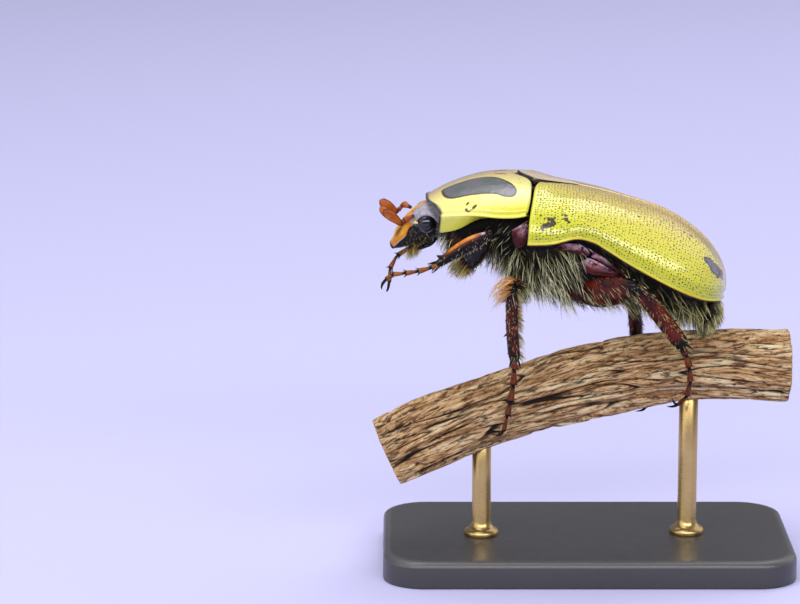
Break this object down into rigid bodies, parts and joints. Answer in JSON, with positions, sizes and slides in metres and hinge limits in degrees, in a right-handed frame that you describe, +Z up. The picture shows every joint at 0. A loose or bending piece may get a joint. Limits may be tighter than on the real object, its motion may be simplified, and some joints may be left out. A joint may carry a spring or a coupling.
{
  "type": "flower chafer beetle model",
  "caption": "Still, life-size flower chafer with yellow wing cases and a hairy underside, gripping a short cut branch on a plain two-rod display stand.",
  "frame": {"origin": "The centre of the underside of the stand's base, on the surface that it stands on.", "axes": "+Z up. +X towards the beetle's head, along the length of the base. +Y towards the beetle's left side, which faces the picture's camera."},
  "size_m": [0.0307, 0.017, 0.0291],
  "materials": {
    "shell_yellow": "polished chitin, yellow, finely punctured",
    "scutellum_tan": "smooth chitin, tan",
    "body_dark": "dark cuticle under pale hair",
    "plate_brown": "reddish-brown chitin, coarsely punctured",
    "leg_brown": "reddish-brown chitin, glossy",
    "antenna_orange": "thin orange-brown chitin",
    "eye_black": "polished, finely faceted",
    "bark": "dry fissured bark, cut ends",
    "stand_base": "satin black paint",
    "stand_rod": "brushed brass"
  },
  "bodies": {
    "root": {"pronotum": "shell_yellow", "elytron_left": "shell_yellow", "elytron_right": "shell_yellow", "scutellum": "scutellum_tan", "thorax": "body_dark", "abdomen": "body_dark", "prosternum": "body_dark", "pygidium": "plate_brown", "head": "plate_brown", "mesepimeron_left": "plate_brown", "mesepimeron_right": "plate_brown", "metepimeron_left": "plate_brown", "metepimeron_right": "plate_brown", "mouthparts": "leg_brown", "eye_left": "eye_black", "eye_right": "eye_black", "antenna_left": "antenna_orange", "antenna_right": "antenna_orange", "coxa_front_left": "leg_brown", "coxa_front_right": "leg_brown", "coxa_middle_left": "leg_brown", "coxa_middle_right": "leg_brown", "coxa_hind_left": "leg_brown", "coxa_hind_right": "leg_brown", "femur_front_left": "leg_brown", "femur_front_right": "leg_brown", "femur_middle_left": "leg_brown", "femur_middle_right": "leg_brown", "femur_hind_left": "leg_brown", "femur_hind_right": "leg_brown", "tibia_front_left": "leg_brown", "tibia_front_right": "leg_brown", "tibia_middle_left": "leg_brown", "tibia_middle_right": "leg_brown", "tibia_hind_left": "leg_brown", "tibia_hind_right": "leg_brown", "tarsus_front_left": "leg_brown", "tarsus_front_right": "leg_brown", "tarsus_middle_left": "leg_brown", "tarsus_middle_right": "leg_brown", "tarsus_hind_left": "leg_brown", "tarsus_hind_right": "leg_brown", "perch": "bark", "stand_base": "stand_base", "stand_rod_1": "stand_rod", "stand_rod_2": "stand_rod"}
  },
  "joints": []
}
